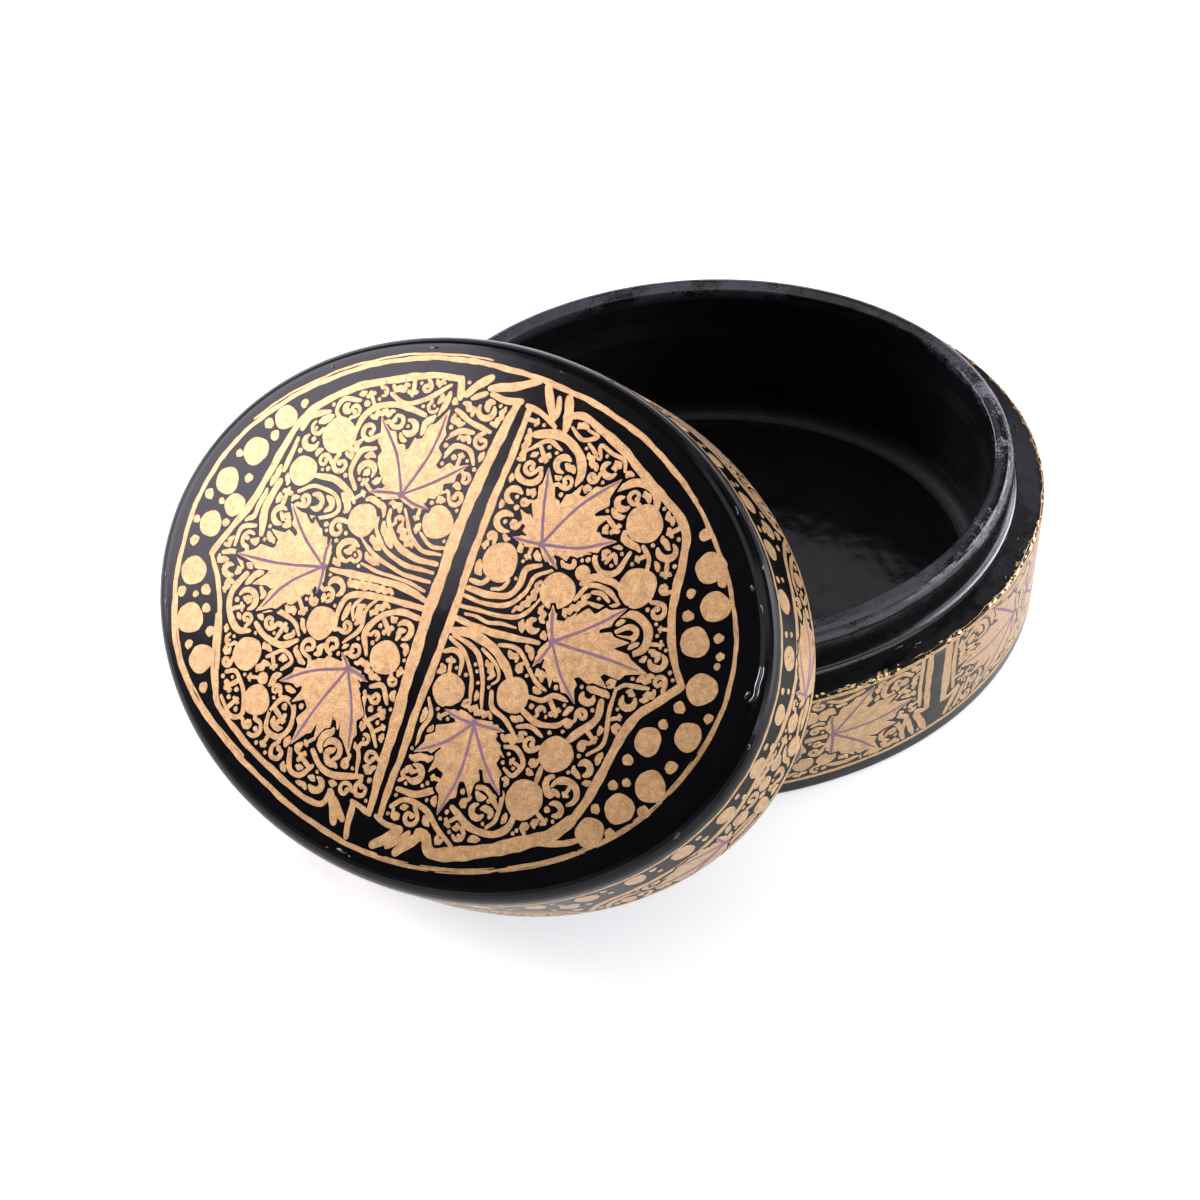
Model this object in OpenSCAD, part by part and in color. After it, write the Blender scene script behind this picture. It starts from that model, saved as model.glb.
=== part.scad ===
// Oval papier mache box with a lift-off lid.
//
// The box is an oval wall with a bottom let into it and an inner collar that stands above
// the wall.  The lid is an oval band closed by a crowned panel: it drops over the collar
// and rests on the shoulder around it.  Here the lid is off, and leans against the box
// with the edge of its band on the table.
//
// Frame: +Z is up and the table is Z = 0.  The origin is the middle of the box's underside
// and +X runs along the long axis of the oval.  All sizes are in millimetres.
//
// Every piece is a turned form squeezed across into an oval.  A profile gives the radius
// along the long axis and the height, and its squeeze follows from how far the profile's
// main radius is set in from the outline, so that walls keep their thickness all round.

/* [Plan] */
// Length of the box along its long axis
box_length = 100; // [80:1:140]
// Width of the box across its short axis
box_width = 77.6; // [60:0.2:100]

/* [Box] */
// Height of the wall, from the table to the shoulder
wall_height = 23.5; // [16:0.5:40]
// Width of the shoulder that the lid rests on
shoulder_width = 4.6; // [3.5:0.1:7]
// Thickness of the bottom
floor_thickness = 2.6; // [1.5:0.1:5]
// Rounding of the foot of the wall
foot_round = 1.2; // [0.4:0.1:2]
// Rounding of the outer edge of the shoulder
shoulder_round = 0.7; // [0.3:0.1:1.5]

/* [Collar] */
// Height of the collar above the shoulder
collar_rise = 8; // [5:0.5:12]
// Thickness of the collar below the shoulder
collar_thickness = 3.2; // [2.8:0.1:5]
// How far the collar's outer face leans in between its fillet and its rim
collar_draft = 0.5; // [0.1:0.1:0.6]
// Rounding of the outer edge of the rim
rim_outer_round = 1.8; // [0.6:0.1:1.9]
// Rounding of the inner edge of the rim
rim_inner_round = 0.4; // [0.2:0.1:0.5]
// Radius of the fillet between the collar and the shoulder
seat_fillet = 1; // [0.4:0.1:1.5]
// Radius of the cove between the floor and the inside of the collar
floor_cove = 2.4; // [1:0.2:5]

/* [Lid] */
// Height of the lid's band, from its open edge to the panel
band_height = 12.6; // [11:0.2:24]
// Height of the panel at the lid's outline
panel_edge = 3; // [2.7:0.1:5]
// Rise of the crown above the panel's edge
crown_rise = 1.6; // [1.4:0.1:4]
// Thickness of the panel at the top of the crown
panel_thickness = 3; // [2.4:0.1:3.2]
// Radius of the rounded border of the panel
border_round = 2.6; // [1:0.1:2.9]
// Rounding of the outer edge of the band, where the lid is open
band_round = 0.6; // [0.3:0.1:1.2]
// Radius of the cove between the band and the underside of the panel
lid_cove = 1.2; // [0.4:0.1:1.5]
// Clearance all round between the collar's foot and the lid's band
lid_clearance = 0.45; // [0.3:0.05:0.8]

/* [Lid at rest] */
// Tilt of the lid from level
lean_tilt = 33.9; // [28:0.1:38]
// Direction in which the lid leans on the box, from the long axis
lean_heading = 32.9; // [20:0.1:45]
// Shift of the lid to the left of that direction
lean_aside = -0.5; // [-3:0.1:3]
// Turn of the lid about its own axis, from the box's long axis
lid_turn = -36.4; // [-50:0.2:-20]
// Air left between the leaning lid and the box
lean_gap = 0.3; // [0.2:0.05:0.6]

/* [Hidden] */

$fn = 96;
lacquer = "#1a1614";
painted = "#a98450";

half_length = box_length/2;
half_width = box_width/2;

// Radii of the turned profiles
wall_inside = half_length - shoulder_width;
collar_inset = shoulder_width + collar_thickness;
collar_inside = half_length - collar_inset;
band_inset = shoulder_width - lid_clearance;
band_inside = half_length - band_inset;

// Box
rim_height = wall_height + collar_rise;
fillet_top = wall_height + seat_fillet;

// Rounded outer edge of the rim, tangent to the collar's leaning face
collar_lean = atan2(collar_draft, rim_height - fillet_top);
rim_round_height = rim_height - rim_outer_round;
rim_round_middle = wall_inside - (rim_round_height - fillet_top)*tan(collar_lean)
                   - rim_outer_round/cos(collar_lean);

// Lid, measured up from its open edge
lid_height = band_height + panel_edge + crown_rise;
ceiling = lid_height - panel_thickness;
// The inner edge of the band clears the fillet at the collar's foot.
band_inner_round = seat_fillet + lid_clearance;

// Crown: one arc, level in the middle and tangent to the rounded border
border_middle = half_length - border_round;
border_centre = band_height + panel_edge - border_round;
border_depth = lid_height - border_centre;
crown_radius = (border_middle^2 + border_depth^2 - border_round^2)/(2*crown_rise);
crown_slope = asin(border_middle/(crown_radius - border_round));

// Largest turn between two points of a rounded edge, and of the crown's long arc
round_step = 15;
crown_step = 1;
// Length by which a cutting form runs past what it cuts
past = 1;

// ---- Ovals ----

// Width over length of the oval set in from the box's outline
function squeeze(inset) = (half_width - inset)/(half_length - inset);

// Turns a profile and squeezes it to the oval, in two half turns
module oval_turned(profile, inset) {
  for (side = [0, 180])
    rotate(side) scale([1, squeeze(inset), 1]) rotate_extrude(angle = 180)
      polygon(profile);
}

// Points along an arc, from one angle to another
function arc(centre, r, from, to, step = round_step) =
  let (n = ceil(abs(to - from)/step))
  [for (i = [0:n]) let (a = from + (to - from)*i/n) centre + r*[cos(a), sin(a)]];

// ---- Edges that more than one form uses ----

rim_outer_edge = arc([rim_round_middle, rim_round_height], rim_outer_round, collar_lean, 90);
rim_inner_edge = arc([collar_inside + rim_inner_round, rim_height - rim_inner_round],
                     rim_inner_round, 180, 90);
band_outer_edge = arc([half_length - band_round, band_round], band_round, -90, 0);
band_inner_edge = arc([band_inside + band_inner_round, band_inner_round],
                      band_inner_round, -90, -180);

// ---- Lid at rest ----

// The lid stands on the lowest point of its open edge, and is moved level towards the box
// until the air between them comes down to lean_gap.

function turned(a) = [[cos(a), -sin(a), 0], [sin(a), cos(a), 0], [0, 0, 1]];
function tilted(a) = [[1, 0, 0], [0, cos(a), -sin(a)], [0, sin(a), cos(a)]];

// From the lid's own axes to the frame's
lean = turned(lean_heading - 90)*tilted(lean_tilt)*turned(90 - lean_heading + lid_turn);

// Height of the lid's middle with the edge of its band on the table.  A ring of radius r
// reaches r*low_reach towards the low side.
low_side = lean_heading + 180 - lid_turn;
low_reach = norm([cos(low_side), squeeze(0)*sin(low_side)]);
lean_height = max([for (p = band_outer_edge)
                   p.x*low_reach*sin(lean_tilt) - p.y*cos(lean_tilt)]);

// Distance in plan from an oval, set in from the outline, to a point; negative is inside
function plan_gap(p, inset) = let (
  f = norm([p.x/(half_length - inset), p.y/(half_width - inset)]),
  slope = norm([p.x/(half_length - inset)^2, p.y/(half_width - inset)^2]))
  f*(f - 1)/slope;

// Distance from a point to the box, and from a point in the lid's own axes to the lid
function box_gap(p) = max(
  min(max(plan_gap(p, 0), p.z - wall_height),
      max(plan_gap(p, shoulder_width), p.z - rim_height)),
  -max(plan_gap(p, collar_inset), floor_thickness - p.z));
function lid_gap(p) = max(plan_gap(p, 0), p.z - lid_height, -p.z,
  -max(plan_gap(p, band_inset), p.z - ceiling));

// Points all round an edge
check_step = 1;
function all_round(edge, inset) = [for (a = [0:check_step:359], p = edge)
  [p.x*cos(a), p.x*squeeze(inset)*sin(a), p.y]];

// The box's edges that can meet the lid, and the lid's that can meet the box
box_edges = [each all_round([[half_length - shoulder_round, wall_height]], 0),
             each all_round(rim_outer_edge, shoulder_width),
             each all_round([rim_inner_edge[0]], collar_inset)];
lid_edges = [each all_round([band_outer_edge[0]], 0),
             each all_round([band_inner_edge[0], [band_inside, band_inner_round]], band_inset)];

// Where the lid's middle is when it stands back from the box's middle by a distance
function lid_middle(back) = turned(lean_heading)*[-back, lean_aside, lean_height];

// Least air between box and lid at that distance
function air(back) = let (m = lid_middle(back)) min(
  min([for (p = box_edges) lid_gap((p - m)*lean)]),
  min([for (p = lid_edges) box_gap(lean*p + m)]));

// Closest distance with enough air, halving the span between one too near and one far off
function lean_back(near, far, halvings = 12) = halvings == 0 ? far
  : let (mid = (near + far)/2)
    air(mid) > lean_gap ? lean_back(near, mid, halvings - 1)
                        : lean_back(mid, far, halvings - 1);

lid_place = lid_middle(lean_back(0, half_length));

// Carries a piece from the lid's own axes to where the lid rests
module leaning() {
  translate(lid_place) rotate(lean_heading - 90) rotate([lean_tilt, 0, 0])
    rotate(90 - lean_heading + lid_turn) children();
}

// ---- Sub-parts ----

// Outer wall, with the shoulder as its top
module box_wall() {
  color(painted) difference() {
    oval_turned([
      [0, 0],
      each arc([half_length - foot_round, foot_round], foot_round, -90, 0),
      each arc([half_length - shoulder_round, wall_height - shoulder_round],
               shoulder_round, 0, 90),
      [0, wall_height]], 0);
    oval_turned([
      [0, -past],
      [wall_inside, -past],
      [wall_inside, wall_height + past],
      [0, wall_height + past]], shoulder_width);
  }
}

// Bottom, let into the wall
module box_floor() {
  color(lacquer) linear_extrude(floor_thickness)
    scale([1, squeeze(shoulder_width)]) circle(wall_inside);
}

// Inner collar: it lines the wall, stands above it and locates the lid
module box_collar() {
  color(lacquer) difference() {
    oval_turned([
      [0, floor_thickness],
      [wall_inside, floor_thickness],
      [wall_inside, wall_height],
      each arc([wall_inside + seat_fillet, fillet_top], seat_fillet, -90, -180),
      each rim_outer_edge,
      [0, rim_height]], shoulder_width);
    oval_turned([
      [0, floor_thickness - past],
      [collar_inside - floor_cove, floor_thickness - past],
      each arc([collar_inside - floor_cove, floor_thickness + floor_cove],
               floor_cove, -90, 0),
      each rim_inner_edge,
      [collar_inside + rim_inner_round, rim_height + past],
      [0, rim_height + past]], collar_inset);
  }
}

// Band round the lid, which drops over the collar
module lid_band() {
  color(painted) leaning() difference() {
    oval_turned([
      [0, 0],
      each band_outer_edge,
      [half_length, band_height],
      [0, band_height]], 0);
    oval_turned([
      [0, -past],
      [band_inside + band_inner_round, -past],
      each band_inner_edge,
      [band_inside, band_height + past],
      [0, band_height + past]], band_inset);
  }
}

// Crowned panel that closes the band, hollowed underneath
module lid_panel() {
  color(painted) leaning() difference() {
    oval_turned([
      [0, band_height],
      [half_length, band_height],
      each arc([border_middle, border_centre], border_round, 0, 90 - crown_slope),
      each arc([0, lid_height - crown_radius], crown_radius, 90 - crown_slope, 90,
               crown_step)], 0);
    oval_turned([
      [0, band_height - past],
      [band_inside, band_height - past],
      each arc([band_inside - lid_cove, ceiling - lid_cove], lid_cove, 0, 90),
      [0, ceiling]], band_inset);
  }
}

box_wall();
box_floor();
box_collar();
lid_band();
lid_panel();
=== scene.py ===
import random
from math import atan2, cos, exp, pi, radians, sin, sqrt

import bmesh
import bpy
import numpy as np
from mathutils import Matrix, Vector, geometry


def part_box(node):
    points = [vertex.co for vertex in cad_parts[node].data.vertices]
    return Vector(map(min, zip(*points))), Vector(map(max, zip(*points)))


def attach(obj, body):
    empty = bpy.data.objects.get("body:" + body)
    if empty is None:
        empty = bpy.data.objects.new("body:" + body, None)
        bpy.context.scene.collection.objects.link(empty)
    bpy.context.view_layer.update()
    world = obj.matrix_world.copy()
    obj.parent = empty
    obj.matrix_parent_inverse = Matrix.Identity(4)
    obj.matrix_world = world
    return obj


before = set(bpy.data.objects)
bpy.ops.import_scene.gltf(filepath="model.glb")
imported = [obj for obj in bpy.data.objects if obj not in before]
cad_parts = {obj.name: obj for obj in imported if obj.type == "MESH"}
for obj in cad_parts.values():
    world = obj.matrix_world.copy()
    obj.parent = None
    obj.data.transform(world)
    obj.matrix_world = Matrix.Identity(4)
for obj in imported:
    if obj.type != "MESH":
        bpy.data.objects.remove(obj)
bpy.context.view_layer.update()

# ---------------- sizes, in mm
MM = 0.001
HALF_LENGTH = 50.0
HALF_WIDTH = 38.8
WALL_STRAIGHT = 22.8  # above this the box wall rounds over into its shoulder
SHOULDER_ROUND = 0.7
LID_HEIGHT = 17.2
BAND_STRAIGHT = 13.0  # above this the lid's side rounds over into its top
BORDER_ROUND = 2.6
CROWN_RADIUS = 705.5  # along the lid; across, the crown is squeezed like the oval

# the lid's lean in degrees, and the place of its own origin, the middle of its open edge
LEAN_TILT = 33.9
LEAN_HEADING = 32.9
LID_OWN_TURN = -36.4
LID_PLACE = Vector((-31.2449, -20.8087, 22.3141))


def turned(degrees, axis="Z"):
    return Matrix.Rotation(radians(degrees), 4, axis)


LID_TURN = turned(LEAN_HEADING - 90) @ turned(LEAN_TILT, "X") @ turned(90 - LEAN_HEADING + LID_OWN_TURN)


# ---------------- shader words
class Wire:
    """One shader socket. Sums with wires make Math nodes, and node() makes any other node."""

    def __init__(self, tree, socket):
        self.tree = tree
        self.socket = socket

    def node(self, kind, settings=None, out=0, **sockets):
        """Settings go in first, then sockets, by name with _ for a space or as a0, a1... by place."""
        made = self.tree.nodes.new("ShaderNode" + kind)
        for key, value in (settings or {}).items():
            if key == "stops":
                elements = made.color_ramp.elements
                while len(elements) < len(value):
                    elements.new(0.5)
                for element, (place, colour) in zip(elements, value):
                    element.position = place
                    element.color = (*colour, 1)
            else:
                setattr(made, key, value)
        for key, value in sockets.items():
            by_place = key[0] == "a" and key[1:].isdigit()
            feed(made.inputs[int(key[1:]) if by_place else key.replace("_", " ")], value)
        return Wire(self.tree, made.outputs[out])

    def math(self, operation, first, second):
        return self.node("Math", {"operation": operation}, a0=first, a1=second)

    def __add__(self, other):
        return self.math("ADD", self, other)

    def __sub__(self, other):
        return self.math("SUBTRACT", self, other)

    def __rsub__(self, other):
        return self.math("SUBTRACT", other, self)

    def __mul__(self, other):
        return self.math("MULTIPLY", self, other)

    __radd__ = __add__
    __rmul__ = __mul__


def feed(slot, value):
    """Links a wire to a socket, or sets a plain value on it."""
    if isinstance(value, Wire):
        value.tree.links.new(value.socket, slot)
    else:
        slot.default_value = value


def dress(surface, **sockets):
    """Feeds the sockets of a surface node by name, with _ for a space."""
    for key, value in sockets.items():
        feed(surface.inputs[key.replace("_", " ")], value)


def new_finish(name):
    """A material with a bare surface: the material, the surface, the object's coordinates."""
    mat = bpy.data.materials.new(name)
    mat.use_nodes = True
    tree = mat.node_tree
    tree.nodes.clear()
    surface = tree.nodes.new("ShaderNodeBsdfPrincipled")
    out = tree.nodes.new("ShaderNodeOutputMaterial")
    tree.links.new(surface.outputs[0], out.inputs["Surface"])
    place = tree.nodes.new("ShaderNodeTexCoord")
    return mat, surface, Wire(tree, place.outputs["Object"])


def noise(here, scale, detail, roughness=0.5, distortion=0.0):
    return here.node("TexNoise", Vector=here, Scale=scale, Detail=detail, Roughness=roughness,
                     Distortion=distortion)


def fade(value, low, high, start=0.0, end=1.0, kind="LINEAR"):
    """start at the low value, end at the high one, and steady beyond them."""
    return value.node("MapRange", {"interpolation_type": kind}, Value=value, From_Min=low, From_Max=high,
                      To_Min=start, To_Max=end)


def mixed(factor, first, second):
    """The first colour where the factor is 0, the second where it is 1."""
    return factor.node("Mix", {"data_type": "RGBA"}, out=2, Factor=factor, a6=first, a7=second)


def bump(height, strength, distance):
    return height.node("Bump", Height=height, Strength=strength, Distance=distance)


# ---------------- lacquer, in metres
DEEP_BLACK = (0.0012, 0.0010, 0.0012)
SOFT_BLACK = (0.0030, 0.0026, 0.0030)
# bluish grey of the rubbed rim: partly wear, partly a painted highlight
RUBBED_AND_SHEEN_GREY = (0.30, 0.29, 0.35, 1)
RUB_AND_SHEEN_FROM = 0.0022  # below the top of a rim, rubbing and its painted highlight start here
RUB_AND_SHEEN_FULL = 0.0008  # and are full here
# where the rubbing and the painted highlight are thickest
WORN_AND_LIT_PATCH = (0.0425, -0.005)
WORN_AND_LIT_WITHIN = 0.006  # this near the worn, lit patch, rubbing and its painted highlight are full
WORN_AND_LIT_OUT = 0.022  # and beyond this, only a little of it is left
POOL_CORE = 0.0014  # above and below the level of a pool
POOL_EDGE = 0.0026
FLOOR_COVE = 0.004  # the cove round the floor


def greyed(colour, painted_light_lift):
    return (*(part * painted_light_lift for part in colour), 1)


def rubbed_and_sheen_specks(here, on_rim, brush, dust, rim_height, rubbing_and_sheen):
    """How far the lacquer of a rim is rubbed off and lightened as a painted highlight, in specks that are
    thickest at the worn, lit patch.
    """
    patch = (*WORN_AND_LIT_PATCH, rim_height)
    away = here.node("VectorMath", {"operation": "DISTANCE"}, out="Value", a0=here, a1=patch)
    strength = on_rim * fade(away, WORN_AND_LIT_WITHIN, WORN_AND_LIT_OUT, rubbing_and_sheen, rubbing_and_sheen * 0.15, "SMOOTHSTEP")
    cloud = noise(here, 70.0, 2.0)
    return fade(dust * 0.4 + brush * 0.3 + cloud * 0.9, 0.78, 0.86) * strength


def black_lacquer(name, waviness, gloss, dull, painted_light_lift=1.0, rim_height=None, rubbing_and_sheen=1.0, pools=()):
    """Brushed black lacquer over pulp, a little lumpy; on a rim it is rubbed dull in specks, which are also a
    painted bluish-grey highlight.

    A pool is a level where it ran together: (height, added roughness, clear coat on top).
    """
    mat, surface, here = new_finish(name)
    swell = noise(here, 170.0, 1.5, 0.45)
    brush = noise(here, 620.0, 3.0, 0.55)
    dust = noise(here, 2600.0, 2.0, 0.7)
    lumps = here.node("TexVoronoi", {"feature": "SMOOTH_F1"}, Vector=here, Scale=420.0, Smoothness=0.7,
                      Randomness=1.0)
    height = swell * (0.9 * waviness) + brush * (0.16 * waviness) - lumps * (0.22 * waviness)
    # a lift above 1 lightens the black, as painted reflection on the inside of the box, where little light
    # reaches
    shade = mixed(swell, greyed(DEEP_BLACK, painted_light_lift), greyed(SOFT_BLACK, painted_light_lift))
    roughness = dull + brush * 0.08 + dust * 0.04
    if rim_height:
        up = here.node("SeparateXYZ", out="Z", Vector=here)
        on_rim = fade(up, rim_height - RUB_AND_SHEEN_FROM, rim_height - RUB_AND_SHEEN_FULL)
        rubbed_and_sheen = rubbed_and_sheen_specks(here, on_rim, brush, dust, rim_height, rubbing_and_sheen)
        # rubbed specks turn bluish grey: partly wear, partly a painted highlight
        shade = mixed(rubbed_and_sheen * 0.8, shade, RUBBED_AND_SHEEN_GREY)
        roughness = roughness + rubbed_and_sheen * 0.3
        height = height * (1 + on_rim * 2) - rubbed_and_sheen * 0.25
    for level, duller, glaze in pools:
        up = here.node("SeparateXYZ", out="Z", Vector=here)
        away = up.node("Math", {"operation": "ABSOLUTE"}, a0=up - level)
        pooled = fade(away, POOL_CORE, POOL_EDGE, 1.0, 0.0)
        roughness = roughness + pooled * duller
        height = height * (1 + pooled * 0.9)
        if glaze:
            dress(surface, Coat_Weight=pooled * glaze, Coat_Roughness=0.16)
    dress(surface, Base_Color=shade, Roughness=roughness, Normal=bump(height, 0.55, 0.00022),
          Specular_IOR_Level=gloss)
    return mat


# ---------------- gold and violet
GOLD_TONES = ((0.3, (0.24, 0.13, 0.042)), (0.5, (0.49, 0.275, 0.095)), (0.7, (0.80, 0.50, 0.21)))
THIN_GOLD = (0.16, 0.085, 0.035, 1)
PIT_BROWN = (0.06, 0.035, 0.02, 1)


def gold_paint(name):
    """Brushed gold: grainy, thin in places, with pits that show the ground."""
    mat, surface, here = new_finish(name)
    grain = noise(here, 6000.0, 1.0, 0.6)
    brush = noise(here, 900.0, 3.0, 0.6, 0.4)
    cloud = noise(here, 120.0, 1.0)
    pit = fade(here.node("TexVoronoi", Vector=here, Scale=700.0, Randomness=1.0), 0.05, 0.12, 1.0, 0.0)
    thin = fade(brush + cloud * 0.4, 0.82, 0.98)
    tone = here.node("ValToRGB", {"stops": GOLD_TONES}, Fac=grain * 0.55 + brush * 0.45)
    worn = mixed(thin * 0.6, tone, THIN_GOLD)
    height = grain * 0.35 + brush * 0.4 - pit * 0.4
    dress(surface, Base_Color=mixed(pit * 0.6, worn, PIT_BROWN), Metallic=0.78, Roughness=0.34 + grain * 0.2,
          Coat_Weight=1.0, Coat_Roughness=0.4, Normal=bump(height, 0.6, 0.0001))
    return mat


def bright_gold(name):
    """Thick gold that catches the light."""
    mat, surface, here = new_finish(name)
    lump = noise(here, 2500.0, 2.0)
    dress(surface, Base_Color=mixed(lump, (0.45, 0.25, 0.09, 1), (0.95, 0.72, 0.42, 1)), Metallic=0.9,
          Roughness=0.18 + lump * 0.2, Normal=bump(lump, 0.6, 0.0002))
    return mat


def violet_line(name):
    """Thin violet paint of the veins."""
    mat, surface, here = new_finish(name)
    ink = noise(here, 1500.0, 2.0)
    dress(surface, Base_Color=mixed(ink, (0.15, 0.065, 0.11, 1), (0.32, 0.17, 0.22, 1)),
          Roughness=0.4 + ink * 0.25)
    return mat


gold = gold_paint("gold_paint")
violet = violet_line("violet_line")
wet_lacquer = black_lacquer("wet_lacquer", waviness=0.3, gloss=1.0, dull=0.03)
rim_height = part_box("box_collar")[1][2]
shoulder_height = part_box("box_wall")[1][2]
LACQUERS = {
    "lid_panel": black_lacquer("lacquer_of_the_lid_panel", waviness=0.12, gloss=0.2, dull=0.1),
    "lid_band": black_lacquer("lacquer_of_the_lid_band", waviness=0.3, gloss=0.1, dull=0.14),
    "box_wall": black_lacquer("lacquer_of_the_wall", waviness=0.9, gloss=0.22, dull=0.12,
                              rim_height=shoulder_height, rubbing_and_sheen=0.12),
    # the collar and floor take a lift, so their black is lighter as painted reflection inside the box
    "box_collar": black_lacquer("lacquer_of_the_collar", waviness=1.3, gloss=0.5, dull=0.14, painted_light_lift=2.4,
                                rim_height=rim_height,
                                pools=((shoulder_height, 0.05, 1.0), (FLOOR_COVE, 0.42, 0))),
    "box_floor": black_lacquer("lacquer_of_the_floor", waviness=1.8, gloss=0.35, dull=0.12, painted_light_lift=2.6),
}
for title, lacquer in LACQUERS.items():
    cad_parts[title].data.materials.clear()
    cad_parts[title].data.materials.append(lacquer)


# ---------------- brushwork, in mm
GOLD, BARE = 1, 0
CELL = 0.2  # a drawing's record of bare room has square cells of this size
FAR = 3.0  # and looks no further than this
HEM = 0.65  # a side's paint stays this far above the low edge of its drawing


def smooth_path(points, step=0.35):
    """Points of an even curve through the given ones."""
    p = [Vector(q) for q in points]
    if len(p) == 2:
        n = max(2, int((p[1] - p[0]).length / step))
        return [p[0].lerp(p[1], i / n) for i in range(n + 1)]
    p = [2 * p[0] - p[1]] + p + [2 * p[-1] - p[-2]]
    path = []
    for a, b, c, d in zip(p, p[1:], p[2:], p[3:]):
        n = max(1, round((c - b).length / step))
        for i in range(n):
            t = i / n
            path.append(0.5 * (2 * b + (c - a) * t + (2 * a - 5 * b + 4 * c - d) * t * t
                               + (3 * b - a - 3 * c + d) * t ** 3))
    return path + [p[-2]]


def pairs(flat):
    return list(zip(flat[::2], flat[1::2]))


def placed(points, at, side=1):
    """Points with x counted from a place, forwards or, with side -1, backwards."""
    return [(at + side * x, y) for x, y in points]


def edges_of(outline):
    """Each point of a closed outline with the next one."""
    return zip(outline, list(outline[1:]) + [outline[0]])


def across(way):
    return Vector((-way.y, way.x))


def round_end(a, b):
    """Points of a half-round end from a to b, turning left."""
    mid, half = (a + b) / 2, (b - a) / 2
    out = Vector((half.y, -half.x))
    return [mid - half * cos(t) + out * sin(t) for t in (0.8, pi / 2, pi - 0.8)]


class Drawing:
    """Brushwork laid out flat. Later shapes cover earlier ones, and a loop joins end to end."""

    def __init__(self, low, high, seed, loop=None):
        self.low, self.high, self.loop = low, high, loop
        self.hand = random.Random(seed)
        self.shapes, self.leaves = [], []
        self.xs = np.arange(low[0], high[0], CELL)
        self.ys = np.arange(low[1], high[1], CELL)
        self.room = np.full((len(self.ys), len(self.xs)), FAR)

    # -- what is taken
    def mark(self, x, y, r):
        """Notes a round spot of paint, so that fillers keep clear of it."""
        reach = r + FAR
        for at in [x, x - self.loop, x + self.loop] if self.loop else [x]:
            i0, i1 = (int((at + s * reach - self.low[0]) / CELL) for s in (-1, 1))
            j0, j1 = (int((y + s * reach - self.low[1]) / CELL) for s in (-1, 1))
            i0, j0 = max(i0, 0), max(j0, 0)
            if i1 <= i0 or j1 <= j0 or i0 >= len(self.xs) or j0 >= len(self.ys):
                continue
            part = self.room[j0:j1, i0:i1]
            away = np.hypot(self.xs[None, i0:i1] - at, self.ys[j0:j1, None] - y) - r
            np.minimum(part, away[:part.shape[0], :part.shape[1]], out=part)

    def inside(self, outline):
        """Cells whose low corner is inside a closed outline."""
        found = np.zeros(self.room.shape, bool)
        gx, gy = self.xs[None, :], self.ys[:, None]
        for (x0, y0), (x1, y1) in edges_of(outline):
            if y0 != y1:
                found ^= ((y0 > gy) != (y1 > gy)) & (gx < (x1 - x0) * (gy - y0) / (y1 - y0) + x0)
        return found

    def room_at(self, x, y):
        """How far the nearest paint is, and less than 0 off the drawing."""
        if self.loop:
            x = (x - self.low[0]) % self.loop + self.low[0]
        i, j = int((x - self.low[0]) / CELL), int((y - self.low[1]) / CELL)
        if 0 <= i < len(self.xs) and 0 <= j < len(self.ys):
            return self.room[j, i]
        return -1.0

    # -- marks of the brush
    def patch(self, outline, colour=GOLD):
        area = sum(a[0] * b[1] - b[0] * a[1] for a, b in edges_of(outline))
        lowest = self.low[1] + HEM if self.loop else self.low[1]
        if area <= 0:
            outline = outline[::-1]
        self.shapes.append(([(x, max(y, lowest)) for x, y in outline], colour))

    def line(self, points, width, start=0.8, end=0.8, shake=0.05, note=True):
        """One stroke through the points; start and end are the widths there as parts of the full one."""
        path = smooth_path(points)
        n = len(path) - 1
        phase = self.hand.random() * 7
        left, right = [], []
        for k, q in enumerate(path):
            t = k / n
            ahead = (path[min(k + 1, n)] - path[max(k - 1, 0)])
            if ahead.length < 1e-6:
                continue
            side = across(ahead).normalized()
            grow = min(1, start + (1 - start) * t * 5, end + (1 - end) * (1 - t) * 5)
            press = 1 + 0.09 * sin(phase + k * 0.27) + 0.05 * sin(2 * phase + k * 0.8)
            sway = sin(phase + k * 0.21) + 0.6 * sin(3 * phase + k * 0.55)
            w = 0.5 * width * grow * press
            q = q + side * shake * sway
            left.append(q + side * w)
            right.append(q - side * w)
            if note:
                self.mark(q.x, q.y, w)
        self.patch(right + round_end(right[-1], left[-1]) + left[::-1] + round_end(left[0], right[0]))

    def dot(self, x, y, r, rough=0.08):
        n = max(9, int(r * 12))
        phase = self.hand.random() * 7
        shape = []
        for a in (2 * pi * k / n for k in range(n)):
            jolt = self.hand.uniform(-rough, rough) * 0.5
            shape.append((x + r * (1 + rough * sin(2 * a + phase) + jolt) * cos(a),
                          y + r * (1 + rough * sin(3 * a + phase)) * sin(a)))
        self.patch(shape)
        self.mark(x, y, r)

    def lobe(self, middle, tip, wide, grow=0.0, colour=GOLD):
        """One pointed lobe of a leaf, with a tooth on each side."""
        m, along = Vector(middle), Vector(tip) - Vector(middle)
        side = across(along) / along.length
        size = along.length
        # how far along the lobe, and how wide there
        shape = [(-0.5 / size, 0.3), (0.15, 0.08 * size + 0.25), (0.4, 0.165 * size * wide),
                 (0.56, 0.185 * size * wide), (0.6, 0.11 * size * wide), (0.76, 0.12 * size * wide),
                 (0.8, 0.07 * size * wide), (1.0, 0.05)]
        halves = []
        for way in (-1, 1):
            halves.append(smooth_path(
                [m + along * t * (1 + grow / size) + side * way * (w + grow) * self.hand.uniform(0.9, 1.15)
                 for t, w in shape], 0.5))
        outline = halves[0] + halves[1][::-1]
        self.patch(outline, colour)
        if colour == GOLD:
            taken = self.inside(outline)
            self.room[taken] = np.minimum(self.room[taken], -0.5)
            for q in outline:
                self.mark(q.x, q.y, 0.05)

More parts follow.
